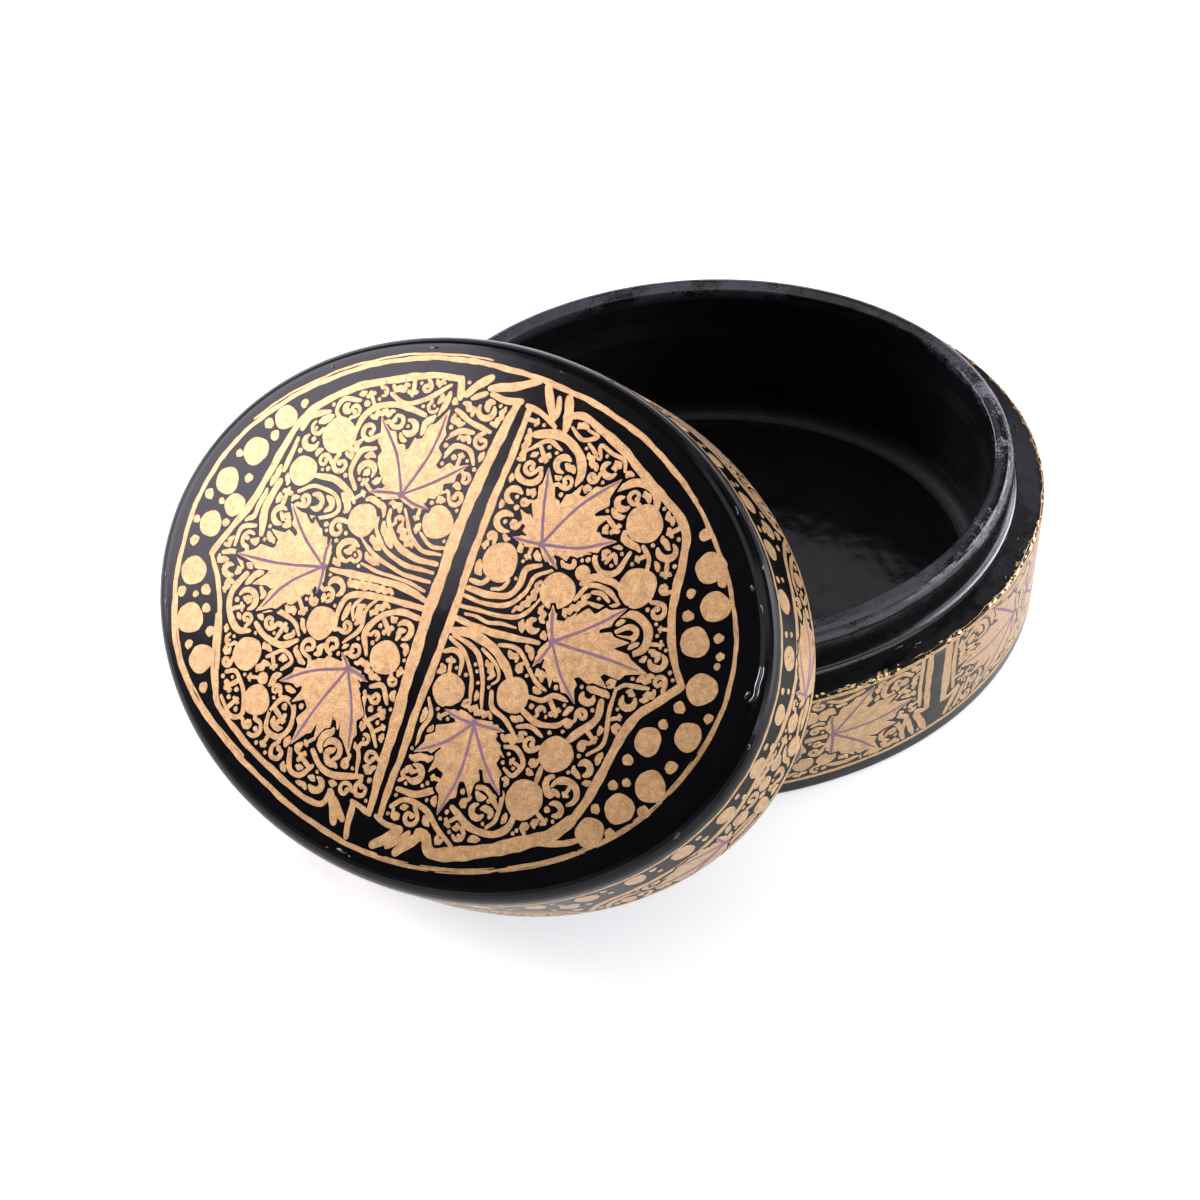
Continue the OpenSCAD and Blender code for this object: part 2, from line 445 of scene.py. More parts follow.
    def leaf(self, middle, veined, plain, wide=1.0, at=0, side=1):
        """A chinar leaf: pointed lobes from the point where its veins meet, in a narrow bare outline."""
        middle, *tips = placed((middle, *veined, *plain), at, side)
        for tip in tips:
            self.lobe(middle, tip, wide, 0.35, BARE)
        for tip in tips:
            self.lobe(middle, tip, wide)
        self.leaves.append((middle, tips[:len(veined)]))

    def strokes(self, table, end, at=0, side=1):
        """A stroke for each row of a table: its width, then x, y, x, y... of its points."""
        for width, *flat in table:
            self.line(placed(pairs(flat), at, side), width, end=end)

    def dots(self, table, rough, at=0, side=1):
        for x, y, r in table:
            self.dot(at + side * x, y, r, rough=rough)

    def veins(self):
        """The vein strokes of every leaf drawn so far, as a drawing of their own."""
        d = Drawing(self.low, self.high, 5)
        for middle, tips in self.leaves:
            m = Vector(middle)
            for tip in tips:
                way = Vector(tip) - m
                bow = across(way) * d.hand.uniform(-0.07, 0.07)
                d.line([m - way.normalized() * 0.4, m + way * 0.5 + bow, m + way * d.hand.uniform(0.9, 1.0)],
                       0.42, start=0.9, end=0.45, shake=0.02, note=False)
        return d


# ---------------- what fills the gaps, in mm
RING_ROOM = 1.75  # a spot this far from paint on every side gets a ring
CURL_ROOM = 1.05  # a narrower one a curl
STROKE_ROOM = 0.52  # and down to this one a wandering stroke or a dot
BARE_LINE = 0.37  # black left between paint and filler
MOST_FILLERS = 9000

# small curls on a circle of radius 1, as x, y, x, y...
CURLS = {
    "hook": (0.9, -0.7, 0.95, 0.3, 0.2, 0.95, -0.6, 0.4, -0.3, -0.4, 0.3, -0.25),
    "tendril": (-0.95, -0.75, -0.3, -0.85, 0.5, -0.7, 0.85, 0, 0.5, 0.7, -0.2, 0.75, -0.5, 0.2, -0.1, -0.15),
    "crescent": (0.5, 0.85, -0.35, 0.9, -0.9, 0.1, -0.5, -0.75, 0.2, -0.9),
}


def fill_gaps(d, region, lean=0.0):
    """Fills what is still bare in a region, the widest places first.

    With a lean, more black is left towards the low right."""
    d.room[~region] = np.minimum(d.room[~region], 0.0)
    for _ in range(MOST_FILLERS):
        j, i = np.unravel_index(np.argmax(d.room), d.room.shape)
        r = d.room[j, i]
        x, y = d.xs[i] + CELL / 2, d.ys[j] + CELL / 2
        gap = BARE_LINE + lean * (x - y)
        if r < STROKE_ROOM:
            break
        if r > RING_ROOM:
            ring(d, x, y, min(r - gap - 0.45, 2.3))
        elif r > CURL_ROOM:
            curl(d, x, y, min(r - gap - 0.05, 1.5), r + 0.2)
        else:
            stroke_or_dot(d, x, y, r, gap)
        d.room[j, i] = min(d.room[j, i], 0.0)


def stroke_or_dot(d, x, y, r, gap):
    """A stroke that wanders along a narrow gap, or a dot where there is no way on."""
    path = wander(d, x, y, gap)
    if len(path) > 3:
        if r > 0.62 and d.hand.random() < 0.45:
            path = ruffle(path, d.hand.uniform(0.16, 0.3))
        width = min(1.0, 2 * (r - gap) + 0.28)
        d.line(path, width * d.hand.uniform(0.8, 1.1), start=0.6, end=0.5, shake=0.035)
    else:
        d.dot(x, y, max(0.27, r - gap + 0.06), rough=0.12)


def ruffle(path, swing):
    """The same path with small waves, as the edge of a leaf."""
    waved = []
    for k, q in enumerate(path):
        ahead = path[min(k + 1, len(path) - 1)] - path[max(k - 1, 0)]
        waved.append(q + across(ahead).normalized() * swing * (1, 0, -1, 0)[k % 4])
    return waved


def ring(d, x, y, r):
    """A broad crescent that other marks sit in."""
    turn, way, wide = d.hand.uniform(0, 6.3), d.hand.choice((-1, 1)), d.hand.uniform(0.8, 1.0)
    angles = [turn + way * k * 0.5 for k in range(9)]
    points = [(x + r * cos(a), y + r * wide * sin(a)) for a in angles]
    d.line(points, 0.95, start=0.5, end=0.4, shake=0.04)


def curl(d, x, y, r, reach):
    """A curl, or a bud on a stem, that sprouts from the nearest paint."""
    looks = (k * pi / 12 for k in range(24))
    root = min((d.room_at(x + reach * cos(a), y + reach * sin(a)), a) for a in looks)[1]
    start = (x + reach * cos(root), y + reach * sin(root))
    name = d.hand.choice(("bud", "hook", "tendril", "crescent", "tendril", "bud"))
    flip = d.hand.choice((-1, 1))
    width = 0.38 + 0.24 * r
    if name == "bud":
        d.line([start, (x, y)], width, start=0.9, end=0.9, shake=0.04)
        for k in (-1, 0, 1):
            b = root + pi + k * 1.15
            d.dot(x + 0.55 * r * cos(b), y + 0.55 * r * sin(b), 0.34 * r, rough=0.16)
        return
    turn = root - atan2(CURLS[name][1], CURLS[name][0] * flip)
    c, s = cos(turn) * r, sin(turn) * r
    points = [(x + c * u * flip - s * v, y + s * u * flip + c * v) for u, v in pairs(CURLS[name])]
    d.line([start] + points, width, start=0.9, end=0.7, shake=0.04)
    if name == "crescent":
        d.dot(x + 0.25 * r * cos(turn), y + 0.25 * r * sin(turn), 0.3 * r, rough=0.12)
    else:
        d.dot(*points[-1], 0.26 + 0.14 * r)


def wander(d, x, y, gap, step=0.3):
    """A path both ways from a point along the middle of a gap."""
    halves = []
    looks = (k * pi / 6 for k in range(12))
    best = max((d.room_at(x + cos(a), y + sin(a)), a) for a in looks)[1]
    for way in (0, pi):
        q, a, path = Vector((x, y)), best + way, []
        phase = d.hand.uniform(0, 6)
        want = d.hand.uniform(2.0, 7.5)
        while len(path) * step < want:
            swing = 0.5 * sin(phase + len(path) * 0.75)
            choices = []
            for k in (-2, -1, 0, 1, 2):
                b = a + k * 0.35
                far = q + Vector((cos(b), sin(b))) * 2 * step
                near = q + Vector((cos(b), sin(b))) * step
                open_way = min(d.room_at(*far) + 0.1, d.room_at(*near))
                choices.append((open_way - 0.05 * abs(k * 0.35 - swing), b, near))
            _, a, near = max(choices, key=lambda choice: choice[0])
            if d.room_at(*near) < gap + 0.14 or any((near - p).length < 0.95 for p in path[:-4]):
                break
            path.append(near)
            q = near
        halves.append(path)
    return halves[1][::-1] + [Vector((x, y))] + halves[0]


# ---------------- from strokes to paint, in mm
TOO_CLOSE = 0.004  # points nearer than this become one
EDGE_SLOPE = 0.03  # how far the foot of the paint reaches past its flat top
ROW_STEP = 0.87  # between rows of loose points, as a part of the step along a row

# heights of a layer above the lacquer: its top, the foot of its edges, and how uneven the top is
GOLD_LAYER = (0.03, -0.02, 0.004)
VEIN_LAYER = (0.042, 0.01, 0.0)
BEAD_LAYER = (0.07, -0.03, 0.0)
FLECK_LAYER = (0.1, -0.03, 0.0)


def triangles_of(d, spacing):
    """The drawing cut into triangles: its points, and the triangles whose last shape is painted."""
    verts, faces = [], []
    for outline, _ in d.shapes:
        faces.append(list(range(len(verts), len(verts) + len(outline))))
        verts += [Vector(q) for q in outline]
    # loose points in rows, so that the paint can bend with what it lies on
    for r in range(int((d.high[1] - d.low[1]) / (spacing * ROW_STEP)) + 1):
        for c in range(int((d.high[0] - d.low[0]) / spacing) + 1):
            x = d.low[0] + (c + 0.5 * (r % 2)) * spacing
            verts.append(Vector((x, d.low[1] + r * spacing * ROW_STEP)))
    points, _, tris, _, _, came = geometry.delaunay_2d_cdt(verts, [], faces, 1, 1e-5, True)
    return points, [t for t, who in zip(tris, came) if who and d.shapes[max(who)][1] == GOLD]


def flat_paint(points, tris):
    bm = bmesh.new()
    made = {}
    for t in tris:
        for k in t:
            if k not in made:
                made[k] = bm.verts.new((points[k].x, points[k].y, 0))
    for t in tris:
        try:
            bm.faces.new([made[k] for k in t])
        except ValueError:
            pass  # the same triangle came before
    bmesh.ops.remove_doubles(bm, verts=bm.verts, dist=TOO_CLOSE)
    bmesh.ops.dissolve_degenerate(bm, dist=TOO_CLOSE, edges=bm.edges)
    return bm


def outward(rim):
    """For each vertex of the rim, the small step that leads away from the paint."""
    push = {}
    for e in rim:
        a, b = e.verts
        out = Vector((b.co.y - a.co.y, a.co.x - b.co.x)).normalized()
        middle = e.link_faces[0].calc_center_median()
        if out.dot((middle - a.co).to_2d()) > 0:
            out = -out
        for v in e.verts:
            push[v] = push.get(v, Vector((0, 0))) + out
    return {v: w.normalized() * EDGE_SLOPE if w.length > 1e-6 else w for v, w in push.items()}


def slope_edges(bm, rim, foot):
    """Adds a band round the paint that slopes down and out to its foot."""
    steps = outward(rim)
    low = [g for g in bmesh.ops.extrude_edge_only(bm, edges=rim)["geom"] if isinstance(g, bmesh.types.BMVert)]
    fresh = set(low)
    for v in low:
        for e in v.link_edges:
            other = e.other_vert(v)
            if other in steps and other not in fresh:
                v.co.x += steps[other].x
                v.co.y += steps[other].y
                break
        v.co.z = foot


def mesh_from(name, bm):
    mesh = bpy.data.meshes.new(name)
    bm.to_mesh(mesh)
    bm.free()
    return mesh


def added(name, data):
    """A new object in the scene."""
    obj = bpy.data.objects.new(name, data)
    bpy.context.scene.collection.objects.link(obj)
    return obj


def paint_sheet(name, d, place, spacing, layer, domed=False):
    """Paint laid on a surface: the flat drawing gets thin sloping edges and is then wrapped by place().

    Domed paint is shaded round, and other paint has a crisp edge."""
    top, foot, unevenness = layer
    bm = flat_paint(*triangles_of(d, spacing))
    for v in bm.verts:
        x, y = v.co.x, v.co.y
        v.co.z = top + unevenness * sin(x * 2.1 + 1.3 * sin(y * 1.7)) * cos(y * 2.6 + x)
    rim = [e for e in bm.edges if len(e.link_faces) == 1]
    slope_edges(bm, rim, foot)
    for f in bm.faces:
        f.smooth = True
    if not domed:
        bmesh.ops.split_edges(bm, edges=rim)
    for v in bm.verts:
        v.co = place(*v.co) * MM
    return added(name, mesh_from(name, bm))


# ---------------- where paint sits
def on_lid_top(x, y, height):
    """A point of a drawing that lies on the lid's crown, seen from above."""
    squeeze = HALF_LENGTH / HALF_WIDTH
    deep = sqrt(CROWN_RADIUS ** 2 - x * x - (y * squeeze) ** 2)
    out = Vector((x / deep, y * squeeze ** 2 / deep, 1)).normalized()
    return LID_PLACE + LID_TURN @ (Vector((x, y, LID_HEIGHT - CROWN_RADIUS + deep)) + out * height)


# turns round the oval, and the length along its edge that goes with each
TURNS = np.linspace(0, 2 * pi, 4001)
STEPS = np.hypot(np.diff(HALF_LENGTH * np.cos(TURNS)), np.diff(HALF_WIDTH * np.sin(TURNS)))
LENGTHS = np.concatenate([[0], np.cumsum(STEPS)])
ROUND = float(LENGTHS[-1])


def on_side(along, up, height, straight_to, round_r):
    """A point on an oval side wall that rounds over above straight_to."""
    a = float(np.interp(along % ROUND, LENGTHS, TURNS))
    flat = Vector((cos(a) / HALF_LENGTH, sin(a) / HALF_WIDTH, 0)).normalized()
    edge = Vector((HALF_LENGTH * cos(a), HALF_WIDTH * sin(a), min(up, straight_to)))
    bend = max(0.0, up - straight_to) / round_r
    over = max(0.0, bend - pi / 2) * round_r
    bend = min(bend, pi / 2)
    out = flat * cos(bend) + Vector((0, 0, sin(bend)))
    back = flat * (round_r * (1 - cos(bend)) + over)
    return edge - back + Vector((0, 0, round_r * sin(bend))) + out * height


def on_lid_side(along, up, height):
    return LID_PLACE + LID_TURN @ on_side(along, up, height, BAND_STRAIGHT, BORDER_ROUND)


def on_box_side(along, up, height):
    return on_side(along, up, height, WALL_STRAIGHT, SHOULDER_ROUND)


# ---------------- the lid's top, in mm
# Laid out after the photo. A stroke's row is a brush width and then x, y, x, y... of its points,
# and a dot's row is x, y, radius.
# the oval line: how far outside the even one, brush width, from which turn to which in radians
RIM_STROKES = (
    (0, 0.6, -0.1, 0.9), (0, 0.8, 0.85, 1.9), (0, 0.7, 1.8, 2.9), (0.65, 0.3, 1.75, 2.7),
    (0, 0.75, 2.8, 3.9), (-0.55, 0.3, 3.5, 4.2), (0, 0.75, 3.8, 4.8), (0, 0.3, 4.7, 5.5),
    (0, 0.25, 5.4, 6.3),
)

# the two strips that edge the bar, and the cusped frame round each half, all from the top down
LEFT_STRIP = pairs((
    -2.3, 30.6, -2.8, 25, -3, 20, -3.2, 15, -3.1, 10, -2.8, 5, -2.6, 0, -2.2, -5, -1.8, -10, -1.2, -15,
    -0.8, -20, -0.4, -25, 0, -29.7
))
RIGHT_STRIP = pairs((
    -0.2, 30.6, 0.1, 25, 0.2, 20, 0.3, 15, 0.5, 10, 0.9, 5, 1.2, 0, 1.4, -5, 1.4, -10, 1.5, -15, 1.7, -20,
    1.7, -25, 1.8, -29.8
))
RIGHT_FRAME = pairs((
    5.6, 31, 8, 31.9, 12, 30.9, 16, 29.4, 20, 27.4, 24.6, 25.2, 28, 23.4, 29.8, 21.5, 30.8, 18, 31.5, 14,
    32.7, 10, 34.6, 6, 37.6, 2.4
))
RIGHT_FOOT = pairs((
    37.6, 2.4, 35.2, -0.8, 33, -4, 31.9, -8, 31.5, -12, 30.9, -16, 29.6, -20, 27.4, -23, 24, -25.4,
    20, -27.8, 15, -30.4, 11.2, -31.5, 9.8, -29.8, 8.6, -29.8
))
LEFT_FRAME = pairs((
    -12.4, 31, -16, 30.3, -20, 28.8, -24, 26.9, -28, 24.6, -32, 21.2, -34.3, 17.5, -35.4, 13, -36, 8,
    -36.8, 4, -38.2, 0.2, -40, -4.7
))
LEFT_FOOT = pairs((
    -40, -4.7, -37.3, -8, -34.8, -12.3, -33, -17, -31.3, -21.4, -29.5, -24.3, -25, -26.8, -20, -28.8,
    -14, -30.7, -9.5, -31.6, -7.5, -31.2, -7, -29.3
))
LEFT_FOOT_SHADOW = pairs((-35.3, -12.6, -33.7, -17, -32, -21.3, -29.9, -24.2))

# fingers where the ends of the bar flare
BAR_ENDS = (
    (1.2, -7.4, 31.2, -4, 32.4, -0.6, 34.4), (1.0, -6.7, 30.5, -4.5, 30.3, -1.9, 30.8),
    (0.8, -0.8, 30.6, 2, 30.3, 4.6, 29.2), (1.2, 1.0, 34.2, 2.4, 32, 3.9, 30.2),
    (0.9, 3.4, 33.2, 3.9, 32, 4.1, 30.6), (1.3, 4.8, 33.6, 5.7, 31.6, 6.3, 29.3),
    (1.1, -12.3, 31, -11.3, 28.4), (1.3, -10.6, 29.2, -9.4, 31, -7.9, 32.6), (0.8, -9.4, 29, -7.6, 30.2),
    (0.8, -3.2, -29.3, -1.4, -29.6, 0.2, -30), (1.0, -2.9, -29.6, -2.6, -32, -2.1, -34.2),
    (0.7, 1.2, -29.9, 3, -30.4, 5.2, -30.2), (1.5, 5.4, -30.4, 4, -32.2, 2.3, -33.8),
    (0.8, 7, -30.2, 5.8, -31.8, 4.4, -33.2), (1.5, 8.6, -30.2, 7.2, -31.9, 6.1, -33.5),
    (1.3, -7, -29.3, -5.8, -31, -4.8, -33), (1.0, -6.2, -30, -4.8, -31.2, -3.7, -32.2),
    (0.9, 26, -24.6, 29, -23.6, 31.4, -22.2),
)

# stems that fan out of the bar
STEMS = (
    (0.95, 2, -0.4, 9, -0.3, 15.3, 0.7), (0.5, 3, 0.7, 5, 0.9, 7, 0.7, 9, 1.2, 11.2, 1.4),
    (0.6, 1.8, 1.4, 6, 1.9, 10, 2.6, 12, 4, 13, 6.3),
    (0.65, 1.8, 2.9, 6, 3.1, 9, 4.2, 10.5, 6.5, 11, 9, 13, 10.6),
    (0.9, 1.8, 4.1, 5, 4.2, 8, 5.1, 9.2, 7.2, 9.2, 9.4, 11.2, 10.6), (0.7, 1.8, 5.2, 3.6, 5.4, 4.6, 6.8),
    (0.6, 5.4, 5.2, 6.8, 5.8, 7.4, 7.2), (1.3, 1.8, -2.1, 5, -1.6, 9, -2.3, 12, -4, 13.6, -5.8),
    (0.7, 2.6, -2.6, 6.5, -3.4, 9, -6.2, 10.8, -10.3), (0.6, 2.2, -3.2, 5.2, -4.4, 7.6, -7, 8.8, -10.5),
    (0.5, 7.6, -3, 10.6, -4.4, 11.6, -6, 11, -7), (0.6, 9.8, -1.6, 12.6, -1.2, 15, -2.7, 17.2, -4.4, 19, -5),
    (0.7, 2.2, -5.2, 3.6, -4.6, 5.1, -5.2, 5.7, -7.4), (1.0, -3.6, 0.2, -8, 0.9, -14, 0.2, -20, -0.5),
    (0.5, -4.4, 1.5, -8, 1.8, -12, 1.5, -15.6, 1.8), (0.6, -4.2, 2.9, -9, 2.6, -14, 3.5, -17.2, 5.2),
    (0.65, -4.2, 4.2, -9, 3.9, -13, 4.9, -15.4, 6.9, -15.9, 8.6),
    (0.9, -4.2, 5.5, -8, 5.2, -11.6, 6.3, -14, 8.6, -14.6, 10.2),
    (0.6, -4.2, 6.9, -7, 6.6, -9.6, 7.8, -11.2, 9.6, -12.4, 11), (0.6, -4.2, 8, -6.4, 7.6, -8.6, 8.8),
    (0.9, -3.4, -0.8, -8, -1.3, -13, -2.1, -15.7, -3.2, -16.2, -6, -15.6, -8.2),
    (0.9, -3.6, -2.3, -7, -2.5, -9.6, -4.4, -10.8, -7, -9.4, -9.8),
    (0.6, -10.8, -1.9, -12, -4, -11.8, -6.6, -13.6, -9.4), (0.5, -13, -2.3, -14.2, -4.4, -13.4, -6),
)

# bold scrolls
SCROLLS = (
    (1.3, 2.3, 27.3, 5.8, 28.3, 9.4, 27.2, 11.2, 24.9, 11.4, 22.8), (0.6, 2.2, 25, 4.5, 27, 7, 26.5),
    (1.1, 17.4, 24.2, 19.4, 25.8, 22, 26, 23.6, 24.6, 24.2, 22.6),
    (0.6, 7.2, 30, 9.4, 28.8, 11.4, 30, 9.6, 30.4),
    (0.6, 10.6, 28.6, 13, 27.2, 12.4, 29, 14.4, 28.6, 16.6, 28.2, 17.4, 26.8),
    (0.7, 24.4, 18, 26, 16.8, 26.4, 15),
    (0.8, 23, 16.6, 22.2, 13.6, 20, 12.8, 18.3, 14.4, 19, 16.6, 21.4, 16.8),
    (0.6, 20.2, 14.2, 20.8, 15.6, 21.6, 14.6), (1.0, 18, 10.4, 19.6, 11.8, 22.4, 12, 24.2, 11.4),
    (0.7, 18, 8, 19, 10.4, 21.6, 10.9, 24, 9.8), (0.6, 20, 8.3, 22.8, 8.4, 24.4, 9.6),
    (0.6, 20, 9.8, 21.4, 10, 22.8, 9.4), (1.2, 25, 8.4, 27.6, 9, 29.8, 7.8, 30.4, 5.4, 29, 3.8),
    (0.8, 25.6, 6, 27.2, 7.3, 28.4, 7, 28, 5.8, 25.4, 5.2),
    (1.1, 27.4, -3.6, 27.8, -6, 26, -8.6, 24.8, -10.2), (0.6, 29, -1, 30, -0.2, 33.2, 0.4),
    (0.6, 28.8, -1.2, 29.2, -5, 30, -8.6, 28.4, -11), (0.8, 16.8, -8.8, 19.8, -9.6, 22.4, -8.8, 23.6, -7.6),
    (0.7, 17, -6.6, 19, -6.4, 20.4, -5.3, 22.6, -5.2), (0.7, 11.3, -8, 12.4, -10, 15, -10.8, 17, -12.2),
    (0.6, 17, -11, 19, -10.4, 21, -11), (0.6, 2.6, -12, 3.8, -14, 3.2, -16.4, 3.4, -19),
    (0.8, 22.6, -15, 22.8, -17.2), (0.7, 16.2, -14.2, 18, -13.8, 19.8, -15.4, 19, -17.4, 17.4, -17),
    (0.9, 3, -25.2, 6, -24.9, 9, -23.2), (0.8, 3, -27.8, 4.6, -26.2, 8, -26.3, 11, -28.2, 14, -29.6),
    (1.0, 12, -24.6, 15.4, -26.2, 18.8, -26, 21, -24.4, 21.4, -22),
    (0.7, 17, -22, 18.4, -20.2, 19, -23.8, 18, -25.4), (0.7, 14, -20.8, 16, -20.6, 18.6, -22.4),
    (0.9, -33.6, 16.5, -33, 18.6, -30.4, 20.2), (0.8, -33.6, 15, -33.6, 12.8, -33.8, 10),
    (1.2, -33.6, 8.4, -34.2, 4, -33.2, 0.4),
    (0.6, -30, 8, -27.6, 9.6, -24, 9.4, -22.6, 7.4, -25.4, 5.4, -28.4, 5.2),
    (0.9, -28.6, 11, -25.4, 11.4, -22.4, 10.6, -20.6, 9.4),
    (0.8, -21.4, 11.2, -23.2, 13.4, -22.8, 16.4, -20.8, 17.6),
    (0.9, -25, 18, -24.8, 21.2, -22.6, 23.6, -19, 24.6, -15.4, 24.4),
    (0.7, -26.4, 23.2, -29, 22.6, -29.4, 20.6, -27.6, 19.6),
    (0.7, -22, 25.6, -19.6, 25, -16.6, 26.4, -13.4, 29.6), (0.9, -13, 24.6, -13, 28.6),
    (0.8, -11, 26.6, -8, 25.8, -4.6, 25.4), (0.8, -10.8, 22.4, -9.2, 24, -7, 24.4),
    (0.8, -9.8, 20, -8.8, 21.8, -6.4, 22, -5, 20.4),
    (1.0, -33, -5.6, -34.2, -8.4, -33.4, -11.4, -31, -13.4, -29, -13), (0.7, -38.2, -4, -36, -3.4, -34, -5),
    (0.7, -36.8, -2.4, -36.8, 0.2, -34.6, 1.2), (0.9, -28.4, -11.6, -26, -12.8, -22.8, -13, -20.8, -11.6),
    (0.7, -28, -9.6, -26, -8.8, -22.4, -9.4, -20.8, -10.8),
    (0.7, -30.2, -19.6, -28.6, -19, -26.4, -21, -25.2, -24, -27, -25, -29.6, -23),
    (0.8, -21, -22.4, -20.4, -24.8, -18, -25.2, -16.8, -23, -17.6, -20.4, -19.6, -19.9, -21, -22.2),
    (0.8, -15.6, -26, -14.6, -28.6, -12.6, -28.8, -11.2, -27),
    (0.9, -12, -25, -9.4, -26.8, -6.4, -26.8, -3, -25.6),
    (0.7, -7.6, -18.6, -7, -21.4, -5, -22.6, -4, -25.4),
    (0.7, -7.4, -14.6, -6.4, -17.6, -4, -19.2, -2.6, -21), (0.7, -6.8, -13.6, -5, -13, -3.4, -15),
    (0.6, -24.6, -15.4, -22.4, -13.6, -20.4, -14.6, -21.6, -16.2),
)

# berries, dots in the two ends, and small dots between those
BERRIES = (
    (5, 9, 2.8), (15, 8.2, 2.6), (23.3, 21, 2.7), (26, 12.6, 2.8), (14.6, -7.3, 2.5), (5, -9.9, 2.4),
    (24, -12.5, 2.5), (21.9, -19.8, 2.8), (-6.6, 11, 2.4), (-18.2, 7.5, 2.4), (-27.3, 17.5, 2.7),
    (-30.7, 11, 2.2), (-18.2, -8, 2.4), (-6.3, -9.2, 2.4), (-28, -16, 2.4), (-23.7, -21.6, 2.2),
    (17.5, 11.8, 1.1), (-24, -18.4, 0.9), (24, -8, 0.7),
)
END_DOTS = (
    (35, 18.7, 2.2), (37.8, 14, 2.1), (37, 8.5, 2.1), (40.5, 3, 2.2), (36, -6.2, 2.0), (41.2, -3.6, 2.0),
    (38.8, -11.7, 2.2), (35.7, -16, 2.1), (32.8, -20.5, 2.1), (-37, 17.2, 1.8), (-39.6, 11.2, 2.1),
    (-42.2, 5.7, 2.0), (-39.4, 2.9, 1.7), (-42.1, -0.9, 1.9), (-41.8, -8, 2.1), (-39.4, -14.5, 2.2),
    (-35.1, -19.2, 2.1),
)
SMALL_DOTS = (
    (32.3, 22.6, 0.9), (37.3, 17.4, 0.75), (33.7, 14.5, 0.7), (34.6, 11.5, 0.8), (40, 10.2, 0.7),
    (41.2, 8, 0.6), (41.3, 6.6, 0.5), (38.5, -0.4, 0.85), (43, -0.3, 0.7), (37.2, -3.3, 0.7),
    (40.6, -8.2, 0.9), (34.3, -9.5, 0.8), (35.3, -12.4, 0.6), (33.6, -13.4, 0.7), (39.2, -15.2, 0.85),
    (32.4, -17.3, 0.7), (35.7, -19.6, 0.75), (-35, 20, 0.7), (-39.3, 15.5, 0.8), (-37.6, 14.2, 0.8),
    (-42.1, 10, 0.6), (-38.9, 7.2, 0.7), (-44.3, 3, 0.8), (-41.8, 2.7, 0.5), (-44.7, -1, 0.6),
    (-39.7, 0.1, 0.6), (-43.7, -3.9, 0.8), (-38.6, -9.9, 0.8), (-40, -11, 0.5), (-42.5, -11.4, 0.8),
    (-37.4, -12.3, 0.7), (-35.3, -15.1, 0.8), (-38, -18, 0.7), (-33, -22.9, 0.8),
)

# leaves: where the veins meet, the tips of the lobes with a vein, the tips of the others
LEAVES = (
    ((10, 13.4),
     ((6.3, 23.6), (17.4, 25.6), (20.4, 17.4), (5.4, 12.9), (13.6, 11)),
     ((12.2, 23), (18, 20.4), (17.6, 14.6), (4.8, 16.8))),
    ((17.2, 1.5),
     ((32.2, 2.2), (25.8, 9.4), (23.8, -5.2), (15.2, 6.2), (15.8, -2.6)),
     ((28, 5.2), (27.4, -1.6), (19.4, -4.4), (19, 6.4))),
    ((10.6, -12.8),
     ((10.2, -26.4), (3.4, -19.6), (18.2, -20.6), (5.6, -12.6), (15.4, -12.3)),
     ((6.6, -21.4), (14, -22.6), (16.8, -15.6))),
    ((-13.9, 12.8),
     ((-12, 26.4), (-21.9, 22), (-5.6, 20), (-19, 11.6), (-8.8, 12.2)),
     ((-15.4, 21), (-18.4, 18.6), (-7.2, 15.4), (-19.6, 15.8))),
    ((-21.3, -0.6),
     ((-35.8, -3.4), (-30.4, 6), (-29.2, -10), (-21.8, 3.4), (-20.7, -4.4)),
     ((-31.8, 1.6), (-31.4, -6.6), (-25.6, 5.2), (-24.6, -7.4))),
    ((-11.3, -12.6),
     ((-15.8, -25.4), (-21.2, -17.8), (-6.2, -23.8), (-13.2, -10.8), (-7.6, -13.2)),
     ((-12.4, -23.6), (-18, -13.8), (-9.4, -21), (-18, -19.8), (-7.4, -16.6))),
)


def rim_line(a, grow):
    """A point of the thin oval line just inside the black border, which bulges in two places."""
    off = grow + 0.15 * sin(7 * a)
    off = off + 1.3 * exp(-9 * (a - 3.75) ** 2) + 0.8 * exp(-5 * (a - 4.95) ** 2)
    return (-0.7 + (45.1 + off) * cos(a), 0.3 + (34.6 + off) * sin(a))


def dry_brush(d):
    """The rim line gone over with a dry brush, which leaves the tracks of its bristles."""
    for track in (-0.3, -0.1, 0.1, 0.3):
        a = 4.75 + d.hand.uniform(0, 0.1)
        while a < 6.2:
            b = a + d.hand.uniform(0.06, 0.35)
            d.line([rim_line(t, track) for t in np.linspace(a, b, 6)], d.hand.uniform(0.11, 0.18),
                   start=0.5, end=0.4, shake=0.015, note=False)
            a = b + d.hand.uniform(0.01, 0.05)


